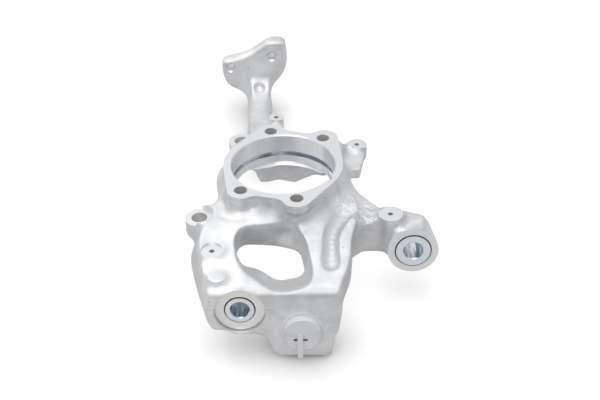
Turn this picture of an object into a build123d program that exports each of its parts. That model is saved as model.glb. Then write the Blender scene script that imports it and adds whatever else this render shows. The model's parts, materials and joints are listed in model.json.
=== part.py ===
"""Steering knuckle with three pressed-in bushes and a transport cap. Units: mm.

Frame: origin at the centre of the wheel bearing seat, on the machined flange face.
+Z runs out of the flange along the wheel axis, +Y runs along the long arm, +X to the side arm.
"""
from build123d import *
from math import atan2, cos, degrees, hypot, radians, sin, tan
import os

os.makedirs("parts", exist_ok=True)

# Wheel bearing seat and its bolt flange
seat_d = 100.0            # upper, machined seat of the wheel bearing
seat_depth = 19.0
relief_d = seat_d + 2     # undercut between the two seats
relief_width = 2.5
lower_seat_d = seat_d - 3
hub_depth = 33.0          # flange face to the bottom of the hub ring
seat_chamfer = 2.5        # at the lower end of the seats
hub_bolt_radius = seat_d / 2 + 9.2    # circle that the four bolt holes lie on
hub_bolt_d = 12.5         # M12 clearance
hub_bolt_angles = (48.1, 102.6, 228.1, 282.6)
hub_lobe_radii = (15.5, 13.0, 13.0, 13.8)
flange_radius = seat_d / 2 + 8
flange_turn = -14.66      # the bolt rectangle is turned by this angle
flange_thickness = 10.0
bolt_boss_d = 21.0        # bosses of the bolt holes under the flange
waist_radius = 24.0       # scallops between the close pairs of bolts
waist_floor = seat_d / 2 + 4.6    # distance of a scallop from the wheel axis
sensor_hole_d = 6.5       # passage of the wheel speed sensor beside the seat
sensor_at = (43.5, -26.0)

# Body: a drafted plate with a window, flat round the hub and falling towards the front wall
body_top = -20.5
body_thickness = 26.0
body_fall_from = -65.0    # the plate falls away in front of this line
body_slope = 14.0
crest_radius = 12.0       # rounding where the plate turns down into the front wall
flare_width = 9.0         # flare of the hub ring into the plate
flare_height = 14.0
groove_depth = 5.5

# Front wall with two bush bosses
wall_tilt = 5.0           # the front wall and all three bush axes lean by this angle
wall_y = -143.2           # front wall at wall_z
wall_z = -40.0
wall_thickness = 34.0

# Rib under the back of the hub ring: a wing with a round column at the root of the long arm
rib_face_radius = seat_d / 2 + 1.6
rib_back = 66.0
column_d = 21.0
column_at = (-18.0, 57.5)
column_foot = -56.0

# Caliper ears
ear_z = -27.0
ear_thickness = 18.0
ear_d = 27.0
ear_hole_d = 15.0
ear_spot_d = 23.0         # spot faces for the bolt heads on the back
ear_offset = -64.0        # line of the ears to the wheel axis
ear_spacing = 136.6

# Tapped bosses: x, y, pad height, pad diameter
tap_drill_d = 5.0         # M6
tap_depth = 14.0
front_tap = (-64.5, -98.5, -28.5, 20.0)
rear_tap = (-8.4, 109.2, -15.0, 16.0)
right_rear_tap = (75.0, 62.0, -20.0, 21.0)
right_tap = (100.2, -57.0, -20.0, 22.5)

# Bushes: where they sit, and the bore, steel shell, rubber and inner sleeve of each
lower_bush_at = (-38.9, -21.6)    # on the front wall, measured from wall_z
lower_recess = 6.5                # the spot face lies this deep in the front wall
spot_face_gap = 1.2               # cutter radius beyond the shell's flange
capped_bush_at = (16.5, -42.0)
side_bush_pos = (121.6, -74.0, -50.6)
side_boss_d = 48.0
side_boss_length = 35.0
side_boss_draft = 6.0
lower_bush = dict(bore=16.4, sleeve=26.0, rubber=30.4, shell=34.0, flange=44.0, length=28.0)
capped_bush = dict(bore=16.0, sleeve=24.2, rubber=29.0, shell=34.0, flange=0.0, length=34.0)
side_bush = dict(bore=17.6, sleeve=32.4, rubber=34.8, shell=39.5, flange=0.0, length=34.0)
sleeve_proud = 0.6        # the sleeves stand a little over their shells
flange_lip = 2.0          # thickness of a shell's flange
rubber_recess = 1.6       # rubber stays below the end faces

# Transport cap over the capped bush
cap_rim_d = 40.5
cap_d = 34.0
cap_height = 7.0
cap_wall = 1.0
pocket_depth = 1.3        # the lower half of the face lies deeper, under a curved step
step_radius = 21.4
step_drop = 1.0
slot_size = (13.0, 2.8)
slot_at = (-1.4, -6.7)    # slot behind the strap, from the middle of the cap
strap_at = -1.8
strap_width = 5.0
strap_thickness = 1.0
strap_length = 26.0

# Long arm and its end plate
arm_start = (-25.3, 52.0, -30.0)
arm_end = (-31.0, 250.0, -60.0)
arm_top_width = 20.0
arm_foot_width = 31.0
arm_depth = 27.0
arm_root_depth = 12.0
plate_y = 240.0
plate_thickness = 20.0
plate_hole_d = 9.0
plate_holes = ((-15.5, -12.7), (-64.3, -26.8))


def polar(radius, angle):
    """Point in the flange plane at a radius and an angle."""
    return (radius * cos(radians(angle)), radius * sin(radians(angle)))


def turned(across, along):
    """Point given across and along the line of the caliper ears."""
    a = radians(flange_turn)
    return (across * cos(a) - along * sin(a), across * sin(a) + along * cos(a))


def wall_point(x, up, depth=0.0):
    """Point on the front wall, or behind it, from its local coordinates."""
    return front_plane.from_local_coords((x, up, -depth))


lean = (0, -cos(radians(wall_tilt)), sin(radians(wall_tilt)))
front_plane = Plane(origin=(0, wall_y, wall_z), x_dir=(1, 0, 0), z_dir=lean)
lower_plane = Plane(origin=wall_point(*lower_bush_at, lower_recess), x_dir=(1, 0, 0), z_dir=lean)
capped_plane = Plane(origin=wall_point(*capped_bush_at), x_dir=(1, 0, 0), z_dir=lean)
side_plane = Plane(origin=side_bush_pos, x_dir=(1, 0, 0), z_dir=lean)
plate_plane = Plane(origin=(0, plate_y, 0), x_dir=(1, 0, 0), z_dir=(0, -1, 0))
ear_points = [
    turned(ear_offset, -ear_spacing / 2),
    turned(ear_offset, ear_spacing / 2),
]
hub_bolts = [polar(hub_bolt_radius, a) for a in hub_bolt_angles]

# Outline of the flange: four lobes on a disc, scalloped between the close pairs
with BuildSketch() as flange_outline:
    Circle(flange_radius)
    for point, lobe in zip(hub_bolts, hub_lobe_radii):
        with Locations(point):
            Circle(lobe)
    make_hull()
    for side in (90, -90):
        with Locations(polar(waist_floor + waist_radius, flange_turn + side)):
            Circle(waist_radius, mode=Mode.SUBTRACT)
    scallop_corners = [
        v for v in flange_outline.vertices()
        if hypot(v.X, v.Y) > waist_floor + 8
        and abs(cos(atan2(v.Y, v.X) - radians(flange_turn))) < 0.5
    ]
    fillet(scallop_corners, 7)

# Body plate: its plan, wider at the foot, cut by its side profile
body_foot = (
    (-62, -170), (-78, -131), (-86, -113), (-94, -93), (-99, -74), (-95, -56), (-78, -28),
    (-68, 4), (-54, 46), (0, 66), (54, 46), (70, 10), (73, -28), (70, -62), (66.5, -75),
    (65, -86), (62, -110), (55, -131), (42, -170), (0, -186),
)
body_crown = (
    (-55, -170), (-66, -131), (-70, -113), (-74.5, -93), (-75, -79), (-71, -62), (-62, -28),
    (-60, 4), (-48, 42), (0, 61), (48, 42), (64, 10), (69, -28), (68.5, -62), (66, -75),
    (63, -86), (60, -110), (52, -131), (38, -170), (0, -182),
)


# Window: its mouth in the plate and its narrower throat, point against point. The mouth reaches past the
# front wall, so that the slope between the two cuts a low lip into the wall's upper edge.
window_top = (
    (-44, -92), (-43, -79), (-38.7, -72), (-27, -68.6), (-10, -68.2), (4, -68.4),
    (12.5, -73), (19, -83), (23, -98), (27, -122), (27.4, -146), (18, -161),
    (-4, -173), (-20, -146), (-31.4, -130), (-37, -118.5), (-42, -104),
)
window_throat = (
    (-42, -84), (-42.3, -72.5), (-38, -68.6), (-25, -68.8), (-10, -69.8), (3, -70.8),
    (10.5, -72.5), (15.5, -79), (18, -91), (19.3, -102), (15, -109.5), (5, -113.2),
    (-4.5, -114.5), (-12, -109.5), (-20, -101.5), (-28, -97), (-37.5, -94),
)


def side_profile(lift, thickness):
    """Side view of the plate as a slab across the whole width, lifted by some amount."""
    fall = (150 + body_fall_from) * tan(radians(body_slope))
    top = body_top + lift
    with BuildPart() as slab:
        with BuildSketch(Plane.YZ):
            with BuildLine():
                Polyline(
                    (90, top), (body_fall_from, top), (-150, top - fall),
                    (-150, top - fall - thickness), (body_fall_from, top - thickness),
                    (90, top - thickness), close=True,
                )
            make_face()
        extrude(amount=120, both=True)
    return slab.part


plate_slab = side_profile(0, body_thickness)
groove_floor = side_profile(-groove_depth, 60)

with BuildPart() as body:
    with BuildSketch(Plane.XY.offset(body_top - 58)):
        with BuildLine():
            Spline(*body_foot, periodic=True)
        make_face()
    with BuildSketch(Plane.XY.offset(body_top)):
        with BuildLine():
            Spline(*body_crown, periodic=True)
        make_face()
    loft()
    add(plate_slab, mode=Mode.INTERSECT)
    # beside and behind the hub the plate is no deeper than the hub ring
    with BuildSketch(Plane.XY.offset(-hub_depth)):
        with Locations((0, 60)):
            Rectangle(260, 160)
    extrude(amount=-60, mode=Mode.SUBTRACT)
    # the plate ends at the front wall
    with BuildSketch(front_plane):
        Rectangle(400, 400)
    extrude(amount=60, mode=Mode.SUBTRACT)
    # front wall: deep at the capped bush, shallower under the lower bush
    with BuildSketch(front_plane):
        with BuildLine():
            Polyline(
                (-62, -9), (-70, -12), (-71, -18), (-68.5, -32), (-64, -41.5), (-54, -41.5),
                (-43, -46.5), (-24, -46.5), (-15.5, -50), (-10.5, -65), (-4.5, -72.2),
                (44, -72.2), (45, -53), (49.5, -45), (52.5, -24), (53, -9), close=True,
            )
        make_face()
        fillet(vertices(), 3)
    extrude(amount=-wall_thickness)
    crest = [
        e for e in body.edges().filter_by(Axis.X)
        if e.length > 80 and e.center().Z > wall_z - 6 and e.center().Y < wall_y + 6
    ]
    fillet(crest, crest_radius)

# Crescent groove in the right of the plate, following its surface
with BuildPart() as groove:
    with BuildSketch(Plane.XY.offset(-70)):
        with BuildLine():
            Spline((35.2, -113), (36, -98), (37, -82), (43, -62), (52, -46), (66, -38.5))
            Line((66, -38.5), (71, -48))
            Spline((71, -48), (64, -59), (57, -70), (52, -80), (50.5, -92), (51, -112))
            ThreePointArc((51, -112), (43, -120), (35.2, -113))
        make_face()
    extrude(amount=65)
    add(groove_floor, mode=Mode.SUBTRACT)

# Long arm: a drafted bar that falls away from the flange plane, with an upright end plate
with BuildPart() as long_arm:
    for origin, top, foot, depth in (
        (arm_start, arm_top_width - 2, arm_foot_width + 5, arm_root_depth),
        (arm_end, arm_top_width + 4, arm_foot_width, arm_depth),
    ):
        with BuildSketch(Plane(origin=origin, x_dir=(1, 0, 0), z_dir=(0, -1, 0))):
            with BuildLine():
                Polyline((-top / 2, 0), (top / 2, 0), (foot / 2, -depth), (-foot / 2, -depth), close=True)
            make_face()
            fillet(vertices(), 3)
    loft()

with BuildPart() as end_plate:
    with BuildSketch(plate_plane):
        with BuildLine():
            Polyline(
                (-75, -20), (-55, -15.5), (-41, -10.5), (-30, -2.5), (-19, 5.5), (-8, 6.5),
                (1, 4), (3, -20), (1, -31), (-4, -40), (-12, -49), (-18, -58), (-19.5, -86),
                (-43.5, -86), (-45, -70), (-48, -62), (-55, -58.5), (-64, -55), (-71, -48),
                (-74, -37), close=True,
            )
        make_face()
        fillet(vertices(), 4)
    extrude(amount=-plate_thickness)
    chamfer(end_plate.faces().sort_by(Axis.Y)[0].edges(), 1.5)
    chamfer(end_plate.faces().sort_by(Axis.Y)[-1].edges(), 1.5)

# Gusset between the arm's top and the end plate, with a scooped front
with BuildPart() as gusset:
    with BuildSketch(Plane.YZ.offset(arm_end[0] + 1.5)):
        with BuildLine():
            Polyline(
                (plate_y + 2, -38), (plate_y + 2, -70), (plate_y - 24, -66),
                (plate_y - 24, -55.5), close=True,
            )
        make_face()
    extrude(amount=arm_top_width / 2 + 1, both=True)
    with Locations((arm_end[0] + 2, plate_y - 14, -43)):
        Sphere(11, mode=Mode.SUBTRACT)

# Arm to the side bush
with BuildPart() as side_arm:
    with BuildSketch(Plane.XY.offset(-60)):
        with BuildLine():
            Polyline(
                (54, 10), (66, 8), (74, -12), (84, -27), (93, -38), (112, -41), (134, -50),
                (134, -64), (98, -64), (76, -63), (50, -88), close=True,
            )
        make_face()
        fillet(vertices(), 5)
    extrude(amount=35)
    chamfer(side_arm.faces().sort_by(Axis.Z)[-1].edges(), 3)

# Rib under the back of the hub ring
with BuildPart() as rib:
    with BuildSketch(Plane.XZ.offset(-rib_back)):
        with BuildLine():
            Polyline(
                (-29, -28), (-28.5, -46), (-24, column_foot), (-6, -56.5), (4, -59), (11, -60),
                (21.5, -52), (37, -39), (40, -28), close=True,
            )
        make_face()
    extrude(amount=36)
    with BuildSketch():
        Circle(rib_face_radius)
    extrude(amount=-80, mode=Mode.SUBTRACT)
    with BuildSketch(Plane.XY.offset(-28)):
        with Locations(column_at):
            Circle(column_d / 2)
    extrude(amount=column_foot + 28)

with BuildPart() as side_boss:
    with BuildSketch(side_plane):
        Circle(side_boss_d / 2)
    extrude(amount=-side_boss_length, taper=side_boss_draft)
    chamfer(side_boss.faces().sort_by(Axis.Y)[-1].edges(), 4)

# Cutter of the window: below its throat, the slope between throat and mouth, and above its mouth
with BuildPart() as window:
    with BuildSketch(Plane.XY.offset(body_top - 12)):
        with BuildLine():
            Spline(*window_top, periodic=True)
        make_face()
    with BuildSketch(Plane.XY.offset(body_top - 29)):
        with BuildLine():
            Spline(*window_throat, periodic=True)
        make_face()
    loft()
    extrude(window.faces().sort_by(Axis.Z)[0], amount=80)
    extrude(window.faces().sort_by(Axis.Z)[-1], amount=30)

with BuildPart() as knuckle:
    # Hub ring, straight under the flange and flared into the body
    add(flange_outline.sketch)
    extrude(amount=-flange_thickness)
    with BuildSketch():
        Circle(flange_radius)
    extrude(amount=-hub_depth)
    with BuildSketch(Plane.XY.offset(body_top - 1)):
        Circle(flange_radius + flare_width)
    extrude(amount=flare_height, taper=degrees(atan2(flare_width, flare_height)))
    with BuildSketch(Plane.XY.offset(-9)):
        with Locations(hub_bolts[0]):
            Circle(hub_lobe_radii[0] + 5)
    extrude(amount=-hub_depth + 9)
    with BuildSketch(Plane.XY.offset(-flange_thickness + 1)):
        with Locations(*hub_bolts[1:]):
            Circle(bolt_boss_d / 2)
    extrude(amount=-hub_depth + flange_thickness - 1)
    add(body)
    add(long_arm)
    add(rib)
    add(end_plate)
    add(gusset)
    add(side_arm)
    add(side_boss)
    add(groove, mode=Mode.SUBTRACT)

    # Caliper ears with their necks
    for point, root, root_d in zip(ear_points, ((-58, -40), (-44, 60)), (ear_d - 2, ear_d - 8)):
        with BuildSketch(Plane.XY.offset(ear_z)):
            with Locations(point):
                Circle(ear_d / 2)
            with Locations(root):
                Circle(root_d / 2)
            make_hull()
        extrude(amount=-ear_thickness)

    # Pads of the tapped bosses
    for (x, y, z, d), drop in (
        (front_tap, 14), (rear_tap, 16), (right_rear_tap, 16), (right_tap, 39),
    ):
        with BuildSketch(Plane.XY.offset(z)):
            with Locations((x, y)):
                Circle(d / 2)
        extrude(amount=-drop)
    # arch behind the front pad, cut back by the pad's spot face
    with BuildSketch(Plane.XY.offset(front_tap[2] + 2.2)):
        with Locations((front_tap[0] + 1.0, front_tap[1] + 11)):
            SlotCenterToCenter(18, front_tap[3] + 3, rotation=86)
    extrude(amount=-12, taper=-12)
    with BuildSketch(Plane.XY.offset(front_tap[2])):
        with Locations(front_tap[:2]):
            Circle(front_tap[3] / 2 + 0.3)
    extrude(amount=12, mode=Mode.SUBTRACT)
    # webs from the hub ring to the two rear pads
    with BuildSketch(Plane.XY.offset(rear_tap[2] - 5)):
        with Locations(rear_tap[:2]):
            Circle(7.5)
        with Locations((-10, 56)):
            Circle(12)
        make_hull()
    extrude(amount=-hub_depth - rear_tap[2] + 5)
    with BuildSketch(Plane.XY.offset(right_rear_tap[2] - 2)):
        with BuildLine():
            Polyline((42, 22), (76, 18), (84, 58), (68, 68), (42, 48), close=True)
        make_face()
        fillet(vertices(), 4)
    extrude(amount=-hub_depth - right_rear_tap[2] + 2)
    # unmachined boss beside the lower bush
    with BuildSketch(Plane.XY.offset(-33)):
        with Locations((-58.7, -128.5)):
            Ellipse(8.6, 7.2)
    extrude(amount=-13, taper=-14)

    # Seat of the wheel bearing, bolt holes and sensor passage
    with BuildSketch():
        Circle(seat_d / 2)
    extrude(amount=-seat_depth, mode=Mode.SUBTRACT)
    with BuildSketch(Plane.XY.offset(-seat_depth)):
        Circle(relief_d / 2)
    extrude(amount=-relief_width, mode=Mode.SUBTRACT)
    with BuildSketch():
        Circle(lower_seat_d / 2)
    extrude(amount=-120, mode=Mode.SUBTRACT)
    with BuildSketch(Plane.XY.offset(-hub_depth + seat_chamfer)):
        Circle(lower_seat_d / 2)
    extrude(amount=-seat_chamfer, taper=-45, mode=Mode.SUBTRACT)
    with Locations(*[(x, y, 0) for x, y in hub_bolts]):
        Hole(hub_bolt_d / 2, depth=100)

    # Window through the plate, steep at the back and the sides, sloped at the front
    add(window, mode=Mode.SUBTRACT)

    # Caliper ears with spot faces behind them, tapped holes and end plate holes
    with Locations(*[(x, y, ear_z - ear_thickness) for x, y in ear_points]):
        Cylinder(ear_spot_d / 2, 40, align=(Align.CENTER, Align.CENTER, Align.MAX), mode=Mode.SUBTRACT)
    with Locations(*[(x, y, ear_z) for x, y in ear_points]):
        Hole(ear_hole_d / 2, depth=60)
    for x, y, z, d in (front_tap, rear_tap, right_rear_tap, right_tap):
        with Locations((x, y, z)):
            Hole(tap_drill_d / 2, depth=tap_depth)
    with Locations(plate_plane):
        with Locations(*plate_holes):
            Hole(plate_hole_d / 2, depth=plate_thickness + 10)

    with Locations((sensor_at[0], sensor_at[1], 0)):
        Hole(sensor_hole_d / 2, depth=80)

    # Bores of the three bushes, with a spot face for the lower one
    with BuildSketch(lower_plane):
        Circle(lower_bush["flange"] / 2 + spot_face_gap)
    extrude(amount=30, mode=Mode.SUBTRACT)
    for plane, bush in (
        (lower_plane, lower_bush), (capped_plane, capped_bush), (side_plane, side_bush),
    ):
        with BuildSketch(plane):
            Circle(bush["shell"] / 2)
        extrude(amount=-60 if plane is not side_plane else -side_boss_length - 5, mode=Mode.SUBTRACT)

knuckle.part.label = "knuckle_casting"
export_step(knuckle.part, "parts/knuckle_casting.step")

# The three bushes: inner sleeve, rubber and steel shell
for name, plane, bush in (
    ("lower_bush", lower_plane, lower_bush),
    ("capped_bush", capped_plane, capped_bush),
    ("side_bush", side_plane, side_bush),
):
    lip = flange_lip if bush["flange"] else 0.0
    with BuildPart(plane) as shell:
        Cylinder(bush["shell"] / 2, bush["length"], align=(Align.CENTER, Align.CENTER, Align.MAX))
        if lip:
            Cylinder(bush["flange"] / 2, lip, align=(Align.CENTER, Align.CENTER, Align.MIN))
        chamfer(shell.faces().sort_by(Axis.Y)[-1].outer_wire().edges(), 0.8)
        with Locations((0, 0, lip)):
            Hole(bush["rubber"] / 2, depth=bush["length"] + lip)
        if lip:
            with BuildSketch(plane.offset(lip)):
                Circle(bush["rubber"] / 2)
                Circle(bush["sleeve"] / 2 + 1.2, mode=Mode.SUBTRACT)
            extrude(amount=-lip)

    with BuildPart(plane.offset(lip + sleeve_proud)) as sleeve:
        sleeve_length = bush["length"] + lip + 2 * sleeve_proud
        Cylinder(bush["sleeve"] / 2, sleeve_length, align=(Align.CENTER, Align.CENTER, Align.MAX))
        Hole(bush["bore"] / 2, depth=sleeve_length)
        chamfer(sleeve.edges().filter_by(GeomType.CIRCLE).sort_by(SortBy.RADIUS)[:2], 0.8)

    with BuildPart(plane.offset(-(0.0 if lip else rubber_recess))) as rubber:
        rubber_length = bush["length"] - (1 if lip else 2) * rubber_recess
        Cylinder(bush["rubber"] / 2, rubber_length, align=(Align.CENTER, Align.CENTER, Align.MAX))
        Hole(bush["sleeve"] / 2, depth=rubber_length)

    for piece, part_name in ((shell, "shell"), (sleeve, "sleeve"), (rubber, "rubber")):
        piece.part.label = name + "_" + part_name
        export_step(piece.part, "parts/" + name + "_" + part_name + ".step")

# Transport cap over the capped bush, with its pull strap
with BuildPart(capped_plane) as cap:
    Cylinder(cap_rim_d / 2, 1.2, align=(Align.CENTER, Align.CENTER, Align.MIN))
    Cylinder(cap_d / 2, cap_height, align=(Align.CENTER, Align.CENTER, Align.MIN))
    chamfer(cap.faces().sort_by(Axis.Y)[0].edges(), 0.6)
    Cylinder(
        cap_d / 2 - cap_wall, cap_height - cap_wall - pocket_depth,
        align=(Align.CENTER, Align.CENTER, Align.MIN), mode=Mode.SUBTRACT,
    )
    with BuildSketch(capped_plane.offset(cap_height)):
        Circle(cap_d / 2 - cap_wall)
        with Locations((0, step_radius - step_drop)):
            Circle(step_radius, mode=Mode.SUBTRACT)
    extrude(amount=-pocket_depth, mode=Mode.SUBTRACT)
    with BuildSketch(capped_plane.offset(cap_height)):
        with Locations(slot_at):
            SlotOverall(*slot_size)
    extrude(amount=-cap_wall - pocket_depth, mode=Mode.SUBTRACT)
    with BuildSketch(capped_plane.offset(cap_height)):
        with Locations((strap_at, -strap_length / 2)):
            SlotOverall(strap_length, strap_width, rotation=90)
    extrude(amount=strap_thickness)
cap.part.label = "transport_cap"
export_step(cap.part, "parts/transport_cap.step")
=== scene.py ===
"""Looks of a cast aluminium steering knuckle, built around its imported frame.

The casting is made as the real one is: a blank with rounded cast edges and stock on every seat, which is
then cut by the planes and drills that machine it. Seats, holes and pads lie where the frame's mounts are.
"""
import json
import math

import bmesh
import bpy
import numpy as np
from mathutils import Matrix, Vector


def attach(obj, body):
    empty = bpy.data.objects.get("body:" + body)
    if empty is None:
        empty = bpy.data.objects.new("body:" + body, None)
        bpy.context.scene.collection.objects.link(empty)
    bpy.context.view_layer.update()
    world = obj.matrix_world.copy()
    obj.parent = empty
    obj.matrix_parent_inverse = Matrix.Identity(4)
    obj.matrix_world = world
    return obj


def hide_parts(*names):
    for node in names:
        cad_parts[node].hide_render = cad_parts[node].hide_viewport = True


MM = 0.001
UP = Vector((0, 0, 1))

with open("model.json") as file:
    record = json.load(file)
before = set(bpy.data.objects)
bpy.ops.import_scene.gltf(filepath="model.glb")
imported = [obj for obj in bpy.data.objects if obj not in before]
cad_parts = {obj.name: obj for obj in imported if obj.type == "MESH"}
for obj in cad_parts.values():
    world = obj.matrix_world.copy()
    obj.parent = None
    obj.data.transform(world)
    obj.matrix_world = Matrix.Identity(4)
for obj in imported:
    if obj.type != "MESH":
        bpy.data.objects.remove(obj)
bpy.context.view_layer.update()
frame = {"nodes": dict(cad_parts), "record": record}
nodes = frame["nodes"]
mounts = {m["name"]: m for m in frame["record"]["mounts"]}

# Camera of the photograph, found from the round flange and its bolt holes
CAMERA_AT = Vector((15.9, -801.2, 544.2)) * MM
CAMERA_DOWN = 36.31       # degrees below the horizon
CAMERA_ROLL = -0.65       # degrees
SENSOR_WIDTH = 36.0
LENS = 60.0

# Blank: its voxels, the radius of its inner fillets, and the stock that machining takes off
VOXEL = 1.5 * MM
INNER_FILLET = 4.0 * MM
STOCK = 5.0 * MM
THIN_STOCK = 1.0 * MM     # on the pad that is almost flush with the plate
PLUG_OVER = 1.0 * MM      # by how much a plug is wider than the hole that it fills

# How far each bush plug stands proud of its seat, and how far it goes in
BUSH_PLUGS = {
    "lower_bush": (6.5 * MM, 34 * MM),
    "capped_bush": (0.0, 34 * MM),
    "side_bush": (STOCK, 35 * MM),
}

# Softening of the blank's edges: passes all over, then more on the long arm and on the neck under the
# flange. Each pair gives where the extra softening starts and where it has its full share.
SOFTEN_PASSES = 14
ARM_PASSES = 120
ARM_Y = (150 * MM, 175 * MM)
NECK_PASSES = 50
NECK_TOP = (-12 * MM, -15 * MM)
NECK_FOOT = (-30 * MM, -27 * MM)
NECK_REAR = (20 * MM, 0.0)
NECK_INSIDE = (58 * MM, 62 * MM)
NECK_OUTSIDE = (84 * MM, 76 * MM)

# Dish at the foot of the end plate
SCOOP_AT = Vector((-30.5, 227.0, -45.0)) * MM
SCOOP_RADIUS = 8.0 * MM
SCOOP_PASSES = 6

# Machining, beyond what the mounts say
SEAT = mounts["hub_bearing_seat"]["dims"]["r_mm"] * MM
SEAT_DEPTH = mounts["hub_bearing_seat"]["dims"]["length_mm"] * MM
HUB_DEPTH = 33 * MM
LIP = 1.5 * MM            # by which the bore under the seat is narrower
FLANGE_REACH = 95 * MM
EAR_FACE = 13.8 * MM
EAR_CLEARANCE = (15.5 * MM, 30 * MM)    # radius of the cone cast free above an ear, at its foot and top
EAR_CLEARANCE_TOP = 25 * MM
PAD_RADII = {"front_tap": 10 * MM, "rear_tap": 8 * MM, "right_rear_tap": 10.5 * MM, "right_tap": 11.25 * MM}
SENSOR_AT = Vector((43.5, -26.0, 0)) * MM
SENSOR_RADIUS = 3.25 * MM
COUNTERSINK = 1.8 * MM
SMOOTH_ANGLE = math.radians(38)

# Cast skin: the parting line on the front wall dips under the capped boss, and the metal froze last
# beside the crescent groove
PARTING_X = 19 * MM
PARTING_Z = -66.5 * MM
PARTING_RISE = 10 * MM
WRINKLES_AT = (0.0745, -0.0435, -0.024)

# Studio: tone of the floor for the light that it throws back, its tone and glow to the camera, its glow in
# metal and clear plastic, how far a contact shadow reaches into the glow, the world's strength and its
# rise to the back and the top, and the lamps by name, place, size and power
FLOOR_TONE = 0.48
FLOOR_SEEN = 0.3
FLOOR_GLOW = 0.8
FLOOR_REFLECTED = 0.2
CONTACT = 45 * MM
WORLD_LEVEL = 0.36
WORLD_BACK = 0.1
WORLD_TOP = 0.6
LAMPS = (
    ("overhead", (-0.25, 0.0, 1.2), 1.1, 3.8),
    ("behind", (-0.8, 1.1, 0.8), 0.9, 2.0),
    ("front", (-0.2, -1.3, 1.2), 1.0, 5.0),
)
LAMPS_AIM = Vector((0, 0.03, -0.05))


# Shells and cuts

def mesh_object(name, bm):
    """Puts a bmesh into a new object of that name."""
    mesh = bpy.data.meshes.new(name)
    bm.to_mesh(mesh)
    bm.free()
    piece = bpy.data.objects.new(name, mesh)
    bpy.context.scene.collection.objects.link(piece)
    return piece


def turned_to(axis, origin):
    """Matrix that stands the Z axis along axis, at origin."""
    quaternion = Vector(axis).normalized().to_track_quat("Z", "Y")
    return Matrix.Translation(Vector(origin)) @ quaternion.to_matrix().to_4x4()


def cylinder(bm, origin, axis, radius, low, high, segments=96, top_radius=None):
    """Adds a closed cylinder or cone, from low to high along axis."""
    middle = Matrix.Translation((0, 0, (low + high) / 2))
    bmesh.ops.create_cone(
        bm, cap_ends=True, segments=segments, radius1=radius,
        radius2=radius if top_radius is None else top_radius,
        depth=high - low, matrix=turned_to(axis, origin) @ middle,
    )


def turned(bm, profile, segments=160):
    """Adds the closed shell that a lathe cuts: a profile of radius and height, spun about the hub's axis."""
    points = [bm.verts.new((radius, 0, height)) for radius, height in profile]
    edges = [bm.edges.new(pair) for pair in zip(points, points[1:])]
    bmesh.ops.spin(
        bm, geom=points + edges, cent=(0, 0, 0), axis=UP, angle=2 * math.pi, steps=segments, use_merge=True,
    )
    bmesh.ops.remove_doubles(bm, verts=bm.verts, dist=0.001 * MM)
    bmesh.ops.recalc_face_normals(bm, faces=bm.faces)


def applied(piece):
    """Applies all modifiers of a piece to its mesh."""
    graph = bpy.context.evaluated_depsgraph_get()
    graph.update()
    mesh = bpy.data.meshes.new_from_object(piece.evaluated_get(graph))
    piece.modifiers.clear()
    old = piece.data
    piece.data = mesh
    bpy.data.meshes.remove(old)


def remeshed(piece):
    """Turns overlapping closed shells into one even skin."""
    step = piece.modifiers.new("skin", "REMESH")
    step.mode = "VOXEL"
    step.voxel_size = VOXEL
    step.use_smooth_shade = True
    applied(piece)


def swollen(piece, distance):
    """Moves the skin outwards along its normals, or inwards where the distance is negative."""
    mesh = piece.data
    places = np.empty(len(mesh.vertices) * 3)
    normals = np.empty(len(mesh.vertices) * 3)
    mesh.vertices.foreach_get("co", places)
    mesh.vertices.foreach_get("normal", normals)
    mesh.vertices.foreach_set("co", places + distance * normals)
    mesh.update()


def softened(piece, passes, share=None):
    """Rounds the edges of the skin a little, or only where share gives a point of it more than 0."""
    step = piece.modifiers.new("soften", "SMOOTH")
    step.factor = 0.5
    step.iterations = passes
    if share:
        group = piece.vertex_groups.new(name="soften")
        for vertex in piece.data.vertices:
            weight = share(vertex.co)
            if weight > 0:
                group.add([vertex.index], min(weight, 1), "REPLACE")
        step.vertex_group = group.name
    applied(piece)
    piece.vertex_groups.clear()


def cut(piece, build, finish=None):
    """Takes away the closed shells that build adds to a bmesh, and leaves that finish on the cut."""
    bm = bmesh.new()
    build(bm)
    cutter = mesh_object("cutter", bm)
    if finish:
        cutter.data.materials.append(finish)
    step = piece.modifiers.new("cut", "BOOLEAN")
    step.operation = "DIFFERENCE"
    step.solver = "MANIFOLD"
    step.material_mode = "TRANSFER"
    step.object = cutter
    applied(piece)
    bpy.data.objects.remove(cutter)


def milled(piece, finish, *shape):
    """Takes away a cylinder or cone, whose numbers are those of cylinder."""
    cut(piece, lambda bm: cylinder(bm, *shape), finish)


# Materials

class Field:
    """A shader socket that takes part in Python arithmetic."""

    def __init__(self, tree, socket):
        self.tree = tree
        self.socket = socket

    def _math(self, operation, a, b=None):
        node = self.tree.nodes.new("ShaderNodeMath")
        node.operation = operation
        for index, value in enumerate((a, b)):
            if isinstance(value, Field):
                self.tree.links.new(value.socket, node.inputs[index])
            elif value is not None:
                node.inputs[index].default_value = value
        return Field(self.tree, node.outputs[0])

    def __add__(self, other):
        return self._math("ADD", self, other)

    def __radd__(self, other):
        return self._math("ADD", other, self)

    def __sub__(self, other):
        return self._math("SUBTRACT", self, other)

    def __rsub__(self, other):
        return self._math("SUBTRACT", other, self)

    def __mul__(self, other):
        return self._math("MULTIPLY", self, other)

    def __rmul__(self, other):
        return self._math("MULTIPLY", other, self)

    def greatest(self, other):
        return self._math("MAXIMUM", self, other)

    def size(self):
        return self._math("ABSOLUTE", self)


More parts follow.
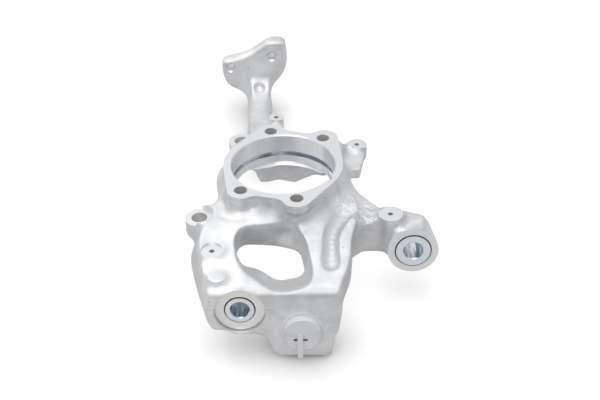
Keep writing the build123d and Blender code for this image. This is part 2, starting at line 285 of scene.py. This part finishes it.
class Finish:
    """A material and one method that adds any node to it."""

    def __init__(self, name, colour, metallic=0.0, roughness=0.5, **settings):
        self.material = bpy.data.materials.new(name)
        self.material.use_nodes = True
        self.tree = self.material.node_tree
        self.shader = self.tree.nodes["Principled BSDF"]
        self.shader.inputs["Base Color"].default_value = (*colour, 1)
        self.shader.inputs["Metallic"].default_value = metallic
        self.shader.inputs["Roughness"].default_value = roughness
        for socket, value in settings.items():
            self.shader.inputs[socket.replace("_", " ")].default_value = value
        self.place = self.node("ShaderNodeTexCoord", output="Object")

    def node(self, kind, output=0, settings=None, **inputs):
        """Adds a node. Inputs are named with _ for a space, or in0, in1 for a place in the list."""
        node = self.tree.nodes.new(kind)
        for key, value in (settings or {}).items():
            setattr(node, key, value)
        for key, value in inputs.items():
            numbered = key[:2] == "in" and key[2:].isdigit()
            socket = node.inputs[int(key[2:]) if numbered else key.replace("_", " ")]
            if isinstance(value, Field):
                self.tree.links.new(value.socket, socket)
            else:
                socket.default_value = value
        return Field(self.tree, node.outputs[output])

    def noise(self, scale, detail=3.0, rough=0.5, vector=None):
        return self.node(
            "ShaderNodeTexNoise", Vector=vector or self.place, Scale=scale, Detail=detail, Roughness=rough,
        )

    def ramp(self, value, low, high):
        """0 below low and 1 above high."""
        return self.node(
            "ShaderNodeMapRange", Value=value, From_Min=low, From_Max=high,
            settings={"clamp": True, "interpolation_type": "SMOOTHSTEP"},
        )

    def mix(self, factor, a, b):
        """Colour a where the factor is 0 and b where it is 1."""
        return self.node(
            "ShaderNodeMix", output=2, settings={"data_type": "RGBA"}, in0=factor,
            in6=(*a, 1) if isinstance(a, tuple) else a, in7=(*b, 1) if isinstance(b, tuple) else b,
        )

    def stretched(self, scale):
        """Object coordinates multiplied by a scale for each axis."""
        return self.node(
            "ShaderNodeVectorMath", settings={"operation": "MULTIPLY"}, in0=self.place, in1=scale,
        )

    def distance(self, place):
        return self.node(
            "ShaderNodeVectorMath", output="Value", settings={"operation": "DISTANCE"},
            in0=self.place, in1=place,
        )

    def feed(self, socket, field):
        self.tree.links.new(field.socket, self.shader.inputs[socket])

    def bump(self, height, distance, strength=1.0, normal=None):
        inputs = {"Height": height, "Distance": distance, "Strength": strength}
        if normal is not None:
            inputs["Normal"] = normal
        return self.node("ShaderNodeBump", **inputs)


def cast_aluminium():
    """Cast skin: cloudy, pitted, with a few pores, the parting line and the wrinkles of the last metal."""
    finish = Finish("cast_aluminium", (0.78, 0.78, 0.79), metallic=0.6, roughness=0.42)
    cloud = finish.noise(16.0, detail=2.0)
    blotch = finish.noise(75.0, detail=4.0, rough=0.6)
    streak = finish.noise(45.0, detail=3.0, vector=finish.stretched((1.0, 0.28, 1.0)))
    fine = finish.noise(900.0, detail=4.0, rough=0.65)
    grain = finish.noise(2600.0, detail=2.0)

    tone = 0.45 * cloud + 0.35 * blotch + 0.2 * streak
    skin = finish.mix(finish.ramp(tone, 0.38, 0.6), (0.64, 0.643, 0.65), (0.83, 0.832, 0.838))
    pores = finish.node("ShaderNodeTexVoronoi", output="Distance", Vector=finish.place, Scale=62.0)
    skin = finish.mix(finish.ramp(pores, 0.03, 0.055), (0.34, 0.33, 0.31), skin)

    x, y, z = (
        finish.node("ShaderNodeSeparateXYZ", output=axis, in0=finish.place) for axis in "XYZ"
    )
    beside_cap = (x - PARTING_X).size()
    line = PARTING_Z + PARTING_RISE * finish.ramp(beside_cap, 17 * MM, 33 * MM)
    on_line = 1 - finish.ramp((z - line).size(), 0.25 * MM, 0.8 * MM)
    on_wall = 1 - finish.ramp(y, -140 * MM, -135 * MM)
    parting = on_line * on_wall
    finish.feed("Base Color", finish.mix(0.65 * parting, skin, (0.93, 0.93, 0.93)))
    finish.feed("Roughness", 0.3 + 0.16 * blotch + 0.06 * fine)

    last_frozen = 1 - finish.ramp(finish.distance(WRINKLES_AT), 12 * MM, 34 * MM)
    seam = finish.bump(parting, 0.5 * MM, 0.6)
    wrinkles = finish.bump(finish.noise(150.0, detail=3.0, rough=0.6) * last_frozen, 3.0 * MM, 1.0, seam)
    waves = finish.bump(blotch, 0.5 * MM, 0.35, wrinkles)
    pitted = finish.bump(fine, 0.22 * MM, 0.35, waves)
    finish.feed("Normal", finish.bump(grain, 0.07 * MM, 0.3, pitted))
    return finish.material


def machined_aluminium():
    """Milled faces, seats and bush bores."""
    finish = Finish("machined_aluminium", (0.86, 0.865, 0.88), metallic=0.85, roughness=0.34)
    lines = finish.noise(260.0, detail=3.0, vector=finish.stretched((1.0, 1.0, 0.12)))
    finish.feed("Roughness", 0.3 + 0.1 * lines)
    return finish.material


def turned_aluminium():
    """The hub bore, with painted reflection streaks along its axis: lighter and darker bands in its colour
    stand for the reflections in the turned wall, and its roughness follows the same bands.
    """
    finish = Finish("turned_aluminium", (0.93, 0.935, 0.95), metallic=0.85, roughness=0.26)
    painted_sheen_streaks = finish.noise(95.0, detail=3.0, rough=0.6, vector=finish.stretched((1.0, 1.0, 0.02)))
    # Painted reflection: the streaks lighten and darken the bore's colour where the turned wall would
    # reflect light and dark.
    finish.feed("Base Color", finish.mix(
        finish.ramp(painted_sheen_streaks, 0.3, 0.68), (0.87, 0.875, 0.9), (0.98, 0.985, 1.0),
    ))
    finish.feed("Roughness", 0.24 + 0.1 * painted_sheen_streaks)
    return finish.material


def relief_aluminium():
    """The relief groove of the hub bore, darkened with painted shade and patched with painted highlights."""
    finish = Finish("relief_aluminium", (0.6, 0.62, 0.68), metallic=0.9, roughness=0.2)
    painted_shade_and_highlight = finish.noise(34.0, detail=2.0)
    # Painted shade and painted highlight: the groove's colour runs from dark to near white in patches.
    finish.feed("Base Color", finish.mix(
        finish.ramp(painted_shade_and_highlight, 0.4, 0.62), (0.5, 0.52, 0.57), (0.93, 0.945, 0.98),
    ))
    return finish.material


def drilled_aluminium():
    """The walls of drilled holes, with the fine spiral that a drill leaves."""
    finish = Finish("drilled_aluminium", (0.75, 0.75, 0.73), metallic=0.6, roughness=0.35)
    turns = finish.noise(1.0, detail=2.0, vector=finish.stretched((60.0, 60.0, 1500.0)))
    finish.feed("Base Color", finish.mix(turns, (0.6, 0.6, 0.575), (0.97, 0.97, 0.945)))
    finish.feed("Normal", finish.bump(turns, 0.25 * MM, 0.5))
    return finish.material


def plated_steel():
    """The zinc plated inner sleeves of the bushes."""
    finish = Finish("plated_steel", (0.83, 0.86, 0.9), metallic=0.95, roughness=0.24)
    lines = finish.noise(420.0, detail=2.0, vector=finish.stretched((1.0, 0.06, 1.0)))
    finish.feed("Base Color", finish.mix(lines, (0.72, 0.78, 0.88), (0.92, 0.93, 0.94)))
    finish.feed("Roughness", 0.2 + 0.12 * lines)
    return finish.material


def bored_steel():
    """The bolt bore of a bush sleeve, plated bluish, with painted reflection streaks along the bore."""
    finish = Finish("bored_steel", (0.6, 0.64, 0.72), metallic=0.95, roughness=0.2)
    painted_sheen_streaks = finish.noise(150.0, detail=2.0, vector=finish.stretched((1.0, 0.04, 1.0)))
    # Painted reflection: dark and bright bands along the bore stand for what its plated wall reflects.
    finish.feed("Base Color", finish.mix(
        finish.ramp(painted_sheen_streaks, 0.4, 0.6), (0.36, 0.41, 0.5), (0.93, 0.95, 0.98),
    ))
    return finish.material


def bush_shell_steel():
    """The warm plating of the flanged shell."""
    finish = Finish("bush_shell_steel", (0.9, 0.885, 0.85), metallic=0.5, roughness=0.4)
    cloud = finish.noise(60.0, detail=3.0)
    finish.feed("Base Color", finish.mix(cloud, (0.88, 0.865, 0.825), (0.95, 0.938, 0.905)))
    return finish.material


def pressed_shell_steel():
    """The rims of the shells that are pressed in flush."""
    finish = Finish("pressed_shell_steel", (0.84, 0.835, 0.82), metallic=0.6, roughness=0.38)
    cloud = finish.noise(60.0, detail=3.0)
    finish.feed("Base Color", finish.mix(cloud, (0.8, 0.795, 0.775), (0.9, 0.895, 0.88)))
    return finish.material


def black_rubber():
    """The rubber rings of the bushes."""
    finish = Finish("black_rubber", (0.02, 0.02, 0.02), roughness=0.6)
    finish.feed("Normal", finish.bump(finish.noise(800.0), 0.1 * MM, 0.3))
    return finish.material


def clear_plastic():
    """The milky transport cap."""
    finish = Finish("cap_plastic", (0.92, 0.925, 0.93), roughness=0.3, Alpha=0.84, Coat_Weight=0.2)
    cloud = finish.noise(90.0, detail=3.0)
    finish.feed("Base Color", finish.mix(cloud, (0.88, 0.885, 0.9), (0.96, 0.96, 0.96)))
    return finish.material


# The casting

def radius_of(mount):
    return mount["dims"]["r_mm"] * MM


def half_of(mount):
    """Half the length of the hole that a mount lies in the middle of."""
    return mount["dims"]["length_mm"] * MM / 2


def rise(value, start, full):
    """0 where the value is at start and 1 where it is at full, and beyond both on the same slope."""
    return (value - start) / (full - start)


def spread(name, axis, origin):
    """Distances of a node's points along an axis, and from it."""
    along = []
    away = []
    for vertex in nodes[name].data.vertices:
        offset = vertex.co - origin
        height = offset.dot(axis)
        along.append(height)
        away.append((offset - height * axis).length)
    return along, away


def bush_seat(name):
    """Middle of a bush's seat face, its axis, and the radii of its bore and flange, read from its shell."""
    mount = mounts[name + "_bolt"]
    middle = Vector(mount["pos_m"])
    axis = Vector(mount["axis"]).normalized()
    if axis.y > 0:
        axis = -axis
    along, away = spread(name + "_shell", axis, middle)
    foot = min(along)
    bore = max(r for r, h in zip(away, along) if h < foot + 5 * MM)
    rim = [h for r, h in zip(away, along) if r > bore + 0.4 * MM]
    seat = min(rim) if rim else max(along)
    return middle + seat * axis, axis, bore, max(away)


BUSHES = {name: bush_seat(name) for name in BUSH_PLUGS}
EARS = [Vector(mounts[name]["pos_m"]) for name in ("caliper_ear_front", "caliper_ear_rear")]
EAR_HALF = half_of(mounts["caliper_ear_front"])
EAR_BORE = radius_of(mounts["caliper_ear_front"])
TAPS = {name: Vector(mounts[name]["pos_m"]) for name in PAD_RADII}
TAP_HALF = half_of(mounts["front_tap"])
TAP_DRILL = radius_of(mounts["front_tap"])
TAP_STOCK = {name: THIN_STOCK if name == "front_tap" else STOCK for name in TAPS}
HUB_BOLTS = [mount for name, mount in mounts.items() if name.startswith("hub_bolt")]
PLATE_HOLES = [mount for name, mount in mounts.items() if name.startswith("end_plate")]


def raise_faces(bm, origin, normal, reach, stock=STOCK):
    """Leaves stock for machining on a flat face."""
    origin = Vector(origin)
    picked = [
        f for f in bm.faces
        if f.normal.dot(normal) > 0.999
        and abs((f.calc_center_median() - origin).dot(normal)) < 0.05 * MM
        and (f.calc_center_median() - origin).length < reach
    ]
    moved = bmesh.ops.extrude_face_region(bm, geom=picked)["geom"]
    points = [v for v in moved if isinstance(v, bmesh.types.BMVert)]
    bmesh.ops.translate(bm, verts=points, vec=normal * stock)


def leave_stock(bm):
    """Raises the flange, the ears, the pads and the side boss."""
    raise_faces(bm, (0, 0, 0), UP, 90 * MM)
    for point in EARS:
        raise_faces(bm, point + EAR_HALF * UP, UP, 14 * MM)
    for name, point in TAPS.items():
        raise_faces(bm, point + TAP_HALF * UP, UP, PAD_RADII[name] + 1 * MM, TAP_STOCK[name])
    seat, axis, bore, flange = BUSHES["side_bush"]
    raise_faces(bm, seat, axis, 25 * MM)


def plug_holes(bm):
    """Fills every hole that is bored or drilled after casting."""
    cylinder(bm, (0, 0, 0), UP, SEAT + PLUG_OVER, -HUB_DEPTH, STOCK)
    for mount in HUB_BOLTS:
        half = half_of(mount)
        cylinder(bm, mount["pos_m"], UP, radius_of(mount) + PLUG_OVER, -half, half + STOCK, 48)
    for point in EARS:
        cylinder(bm, point, UP, EAR_BORE + PLUG_OVER, -EAR_HALF, EAR_HALF + STOCK, 48)
    for mount in PLATE_HOLES:
        half = half_of(mount)
        cylinder(bm, mount["pos_m"], mount["axis"], radius_of(mount) + PLUG_OVER, -half, half, 48)
    for name, point in TAPS.items():
        top = TAP_HALF + TAP_STOCK[name]
        cylinder(bm, point, UP, TAP_DRILL + PLUG_OVER, -TAP_HALF - 1 * MM, top, 32)
    cylinder(bm, SENSOR_AT, UP, SENSOR_RADIUS + PLUG_OVER, -HUB_DEPTH, 0, 32)
    for name, (proud, depth) in BUSH_PLUGS.items():
        seat, axis, bore, flange = BUSHES[name]
        cylinder(bm, seat, axis, bore + PLUG_OVER, -depth, proud)
        if name == "lower_bush":
            cylinder(bm, seat, axis, flange + 1.4 * MM, -1 * MM, proud)


def arm_share(co):
    """1 on the far part of the long arm, and 0 before it."""
    return rise(co.y, *ARM_Y)


def neck_share(co):
    """1 on the front of the neck between the hub flange and the plate, and 0 away from it."""
    radius = math.hypot(co.x, co.y)
    return min(
        rise(co.z, *NECK_TOP), rise(co.z, *NECK_FOOT), rise(co.y, *NECK_REAR),
        rise(radius, *NECK_INSIDE), rise(radius, *NECK_OUTSIDE),
    )


def scoop_share(co):
    """1 in the dish at the foot of the end plate, and 0 from twice its radius."""
    return rise((co - SCOOP_AT).length, 2 * SCOOP_RADIUS, SCOOP_RADIUS)


def scoop_ball(bm):
    bmesh.ops.create_icosphere(
        bm, subdivisions=4, radius=SCOOP_RADIUS, matrix=Matrix.Translation(SCOOP_AT),
    )


def blank():
    """The casting before machining: the CAD solid with its holes filled and stock on its seats."""
    bm = bmesh.new()
    bm.from_mesh(nodes["knuckle_casting"].data)
    bmesh.ops.remove_doubles(bm, verts=bm.verts, dist=0.002 * MM)
    leave_stock(bm)
    plug_holes(bm)
    piece = mesh_object("casting", bm)
    remeshed(piece)
    foot_radius, top_radius = EAR_CLEARANCE
    for point in EARS:
        milled(
            piece, None, point, UP, foot_radius, EAR_HALF + STOCK, EAR_HALF + EAR_CLEARANCE_TOP, 64,
            top_radius,
        )
    # Swollen and shrunk again, the skin has fillets in its inner corners
    swollen(piece, INNER_FILLET)
    remeshed(piece)
    swollen(piece, -INNER_FILLET)
    softened(piece, SOFTEN_PASSES)
    softened(piece, ARM_PASSES, arm_share)
    softened(piece, NECK_PASSES, neck_share)
    cut(piece, scoop_ball)
    softened(piece, SCOOP_PASSES, scoop_share)
    # A cut without a finish leaves an empty material slot
    piece.data.materials.clear()
    return piece


def hub_bore(bm):
    """The stepped bore, from its chamfered foot over the lip and the seat to its chamfered mouth."""
    step = -SEAT_DEPTH - 2.5 * MM
    turned(bm, (
        (0, -150 * MM), (SEAT - LIP, -150 * MM), (SEAT - LIP, -HUB_DEPTH - 3 * MM),
        (SEAT + 1.3 * MM, -HUB_DEPTH - 0.2 * MM), (SEAT - LIP, -HUB_DEPTH + 2.6 * MM),
        (SEAT - LIP, step), (SEAT, step),
        (SEAT, -1 * MM), (SEAT + 1 * MM, 0), (SEAT + 4 * MM, 3 * MM), (0, 3 * MM),
    ))


def relief_groove(bm):
    """The groove that gives the seat's end free."""
    turned(bm, (
        (0, -SEAT_DEPTH - 4.2 * MM), (SEAT - LIP, -SEAT_DEPTH - 4.2 * MM),
        (SEAT + 1.5 * MM, -SEAT_DEPTH - 3.4 * MM), (SEAT + 1.5 * MM, -SEAT_DEPTH - 0.8 * MM),
        (SEAT, -SEAT_DEPTH), (0, -SEAT_DEPTH),
    ))


def machine(piece):
    """Mills, bores and drills the blank."""
    machined = machined_aluminium()
    drilled = drilled_aluminium()
    milled(piece, machined, (0, 0, 0), UP, FLANGE_REACH, 0, 40 * MM)
    cut(piece, hub_bore, turned_aluminium())
    cut(piece, relief_groove, relief_aluminium())
    for mount in HUB_BOLTS:
        milled(piece, drilled, mount["pos_m"], UP, radius_of(mount), -90 * MM, 60 * MM, 48)
    for mount in PLATE_HOLES:
        radius = radius_of(mount)
        milled(piece, machined, mount["pos_m"], mount["axis"], radius, -30 * MM, 30 * MM, 40)
        x, y, z = mount["pos_m"]
        face = (x, y - half_of(mount), z)
        above = 3 * MM
        top_radius = radius + COUNTERSINK + above
        milled(piece, machined, face, (0, -1, 0), radius, -COUNTERSINK, above, 64, top_radius)
    for point in EARS:
        milled(piece, machined, point, UP, EAR_FACE, EAR_HALF, EAR_HALF + 20 * MM)
        milled(piece, drilled, point, UP, EAR_BORE, -60 * MM, 30 * MM, 48)
    for name, point in TAPS.items():
        milled(piece, machined, point, UP, PAD_RADII[name] + 0.3 * MM, TAP_HALF, TAP_HALF + 20 * MM, 64)
        milled(piece, drilled, point, UP, TAP_DRILL, -TAP_HALF, TAP_HALF + 5 * MM, 32)
    milled(piece, drilled, SENSOR_AT, UP, SENSOR_RADIUS, -90 * MM, 10 * MM, 32)
    for name, (seat, axis, bore, flange) in BUSHES.items():
        milled(piece, machined, seat, axis, bore, -70 * MM, 20 * MM)
        if name == "lower_bush":
            milled(piece, machined, seat, axis, flange + 1.2 * MM, 0, 30 * MM)
        if name == "side_bush":
            milled(piece, machined, seat, axis, 30 * MM, 0, 30 * MM)


def shade(piece):
    """Shades the skin smooth, with sharp machined edges."""
    for polygon in piece.data.polygons:
        polygon.use_smooth = True
    bm = bmesh.new()
    bm.from_mesh(piece.data)
    for edge in bm.edges:
        edge.smooth = edge.calc_face_angle(0.0) < SMOOTH_ANGLE
    bm.to_mesh(piece.data)
    bm.free()


casting = blank()
casting.data.materials.append(cast_aluminium())
machine(casting)
shade(casting)
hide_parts("knuckle_casting")
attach(casting, "root")


# The bushes and the cap keep their CAD shapes

def dress_bore(sleeve, finish):
    """Gives the inner wall of a sleeve its own finish."""
    mount = mounts[sleeve.name.replace("_sleeve", "_bolt")]
    axis = Vector(mount["axis"])
    sleeve.data.materials.append(finish)
    for polygon in sleeve.data.polygons:
        offset = polygon.center - Vector(mount["pos_m"])
        outwards = offset - offset.dot(axis) * axis
        if outwards.normalized().dot(polygon.normal) < -0.3:
            polygon.material_index = 1


def dress_bushes():
    """Gives each node its finish by the ending of its name. The first ending that fits counts."""
    bore_metal = bored_steel()
    finishes = {
        "_sleeve": plated_steel(), "_rubber": black_rubber(), "_cap": clear_plastic(),
        "lower_bush_shell": bush_shell_steel(), "_shell": pressed_shell_steel(),
    }
    for name, piece in nodes.items():
        if name != "knuckle_casting":
            ending = next(e for e in finishes if name.endswith(e))
            piece.data.materials.clear()
            piece.data.materials.append(finishes[ending])
            if ending == "_sleeve":
                dress_bore(piece, bore_metal)


dress_bushes()


# Floor, light and camera

def resting_plane():
    """Height and slope of the floor that carries the knuckle at its front edge and its far end."""
    places = np.array([v.co for node in nodes.values() for v in node.data.vertices])
    slope = 0.0
    for _ in range(6):
        height = places[:, 2] - slope * places[:, 1]
        front = places[np.where(places[:, 1] < 0, height, np.inf).argmin()]
        rear = places[np.where(places[:, 1] > 0, height, np.inf).argmin()]
        slope = (rear[2] - front[2]) / (rear[1] - front[1])
    return front[2] - slope * front[1], slope


def pale_floor():
    """A floor whose glow shows it white, less where the knuckle is close above it."""
    height, slope = resting_plane()
    bm = bmesh.new()
    bmesh.ops.create_grid(bm, x_segments=1, y_segments=1, size=4.0)
    tilt = Matrix.Rotation(math.atan(slope), 4, "X")
    bmesh.ops.transform(bm, matrix=Matrix.Translation((0, 0, height)) @ tilt, verts=bm.verts)
    floor = mesh_object("floor", bm)
    pale = Finish("pale_floor", (0.93, 0.93, 0.93), roughness=0.9)
    camera, glossy, clear = (
        pale.node("ShaderNodeLightPath", output=ray)
        for ray in ("Is Camera Ray", "Is Glossy Ray", "Is Transmission Ray")
    )
    open_sky = pale.node("ShaderNodeAmbientOcclusion", output="AO", Distance=CONTACT)
    pale.feed("Base Color", pale.mix(camera, (FLOOR_TONE,) * 3, (FLOOR_SEEN,) * 3))
    glow = camera * FLOOR_GLOW + glossy.greatest(clear) * FLOOR_REFLECTED
    pale.feed("Emission Color", glow * open_sky)
    pale.shader.inputs["Emission Strength"].default_value = 1
    floor.data.materials.append(pale.material)


def studio_world():
    """A world that is paler at the back and the top, and white to the camera."""
    world = bpy.data.worlds.new("studio")
    bpy.context.scene.world = world
    world.use_nodes = True
    tree = world.node_tree
    direction = tree.nodes.new("ShaderNodeTexCoord")
    parts = tree.nodes.new("ShaderNodeSeparateXYZ")
    tree.links.new(direction.outputs["Generated"], parts.inputs[0])
    back = Field(tree, parts.outputs["Y"])
    height = Field(tree, parts.outputs["Z"])
    camera = Field(tree, tree.nodes.new("ShaderNodeLightPath").outputs["Is Camera Ray"])
    sky = (WORLD_LEVEL + WORLD_BACK * back + WORLD_TOP * height) * (1 - camera) + camera
    tree.nodes["Background"].inputs["Color"].default_value = (0.98, 0.99, 1, 1)
    tree.links.new(sky.socket, tree.nodes["Background"].inputs["Strength"])


def soft_boxes():
    for name, place, size, power in LAMPS:
        lamp = bpy.data.lights.new(name, "AREA")
        lamp.size = size
        lamp.energy = power
        holder = bpy.data.objects.new(name, lamp)
        holder.location = place
        holder.rotation_euler = (LAMPS_AIM - Vector(place)).to_track_quat("-Z", "Y").to_euler()
        bpy.context.scene.collection.objects.link(holder)


def photograph_camera():
    lens = bpy.data.cameras.new("camera")
    lens.lens = LENS
    lens.sensor_width = SENSOR_WIDTH
    lens.clip_end = 20
    camera = bpy.data.objects.new("camera", lens)
    down = Matrix.Rotation(math.radians(90 - CAMERA_DOWN), 4, "X")
    roll = Matrix.Rotation(math.radians(CAMERA_ROLL), 4, "Z")
    camera.matrix_world = Matrix.Translation(CAMERA_AT) @ down @ roll
    bpy.context.scene.collection.objects.link(camera)
    bpy.context.scene.camera = camera


pale_floor()
studio_world()
soft_boxes()
photograph_camera()
bpy.context.scene.view_settings.view_transform = "Standard"
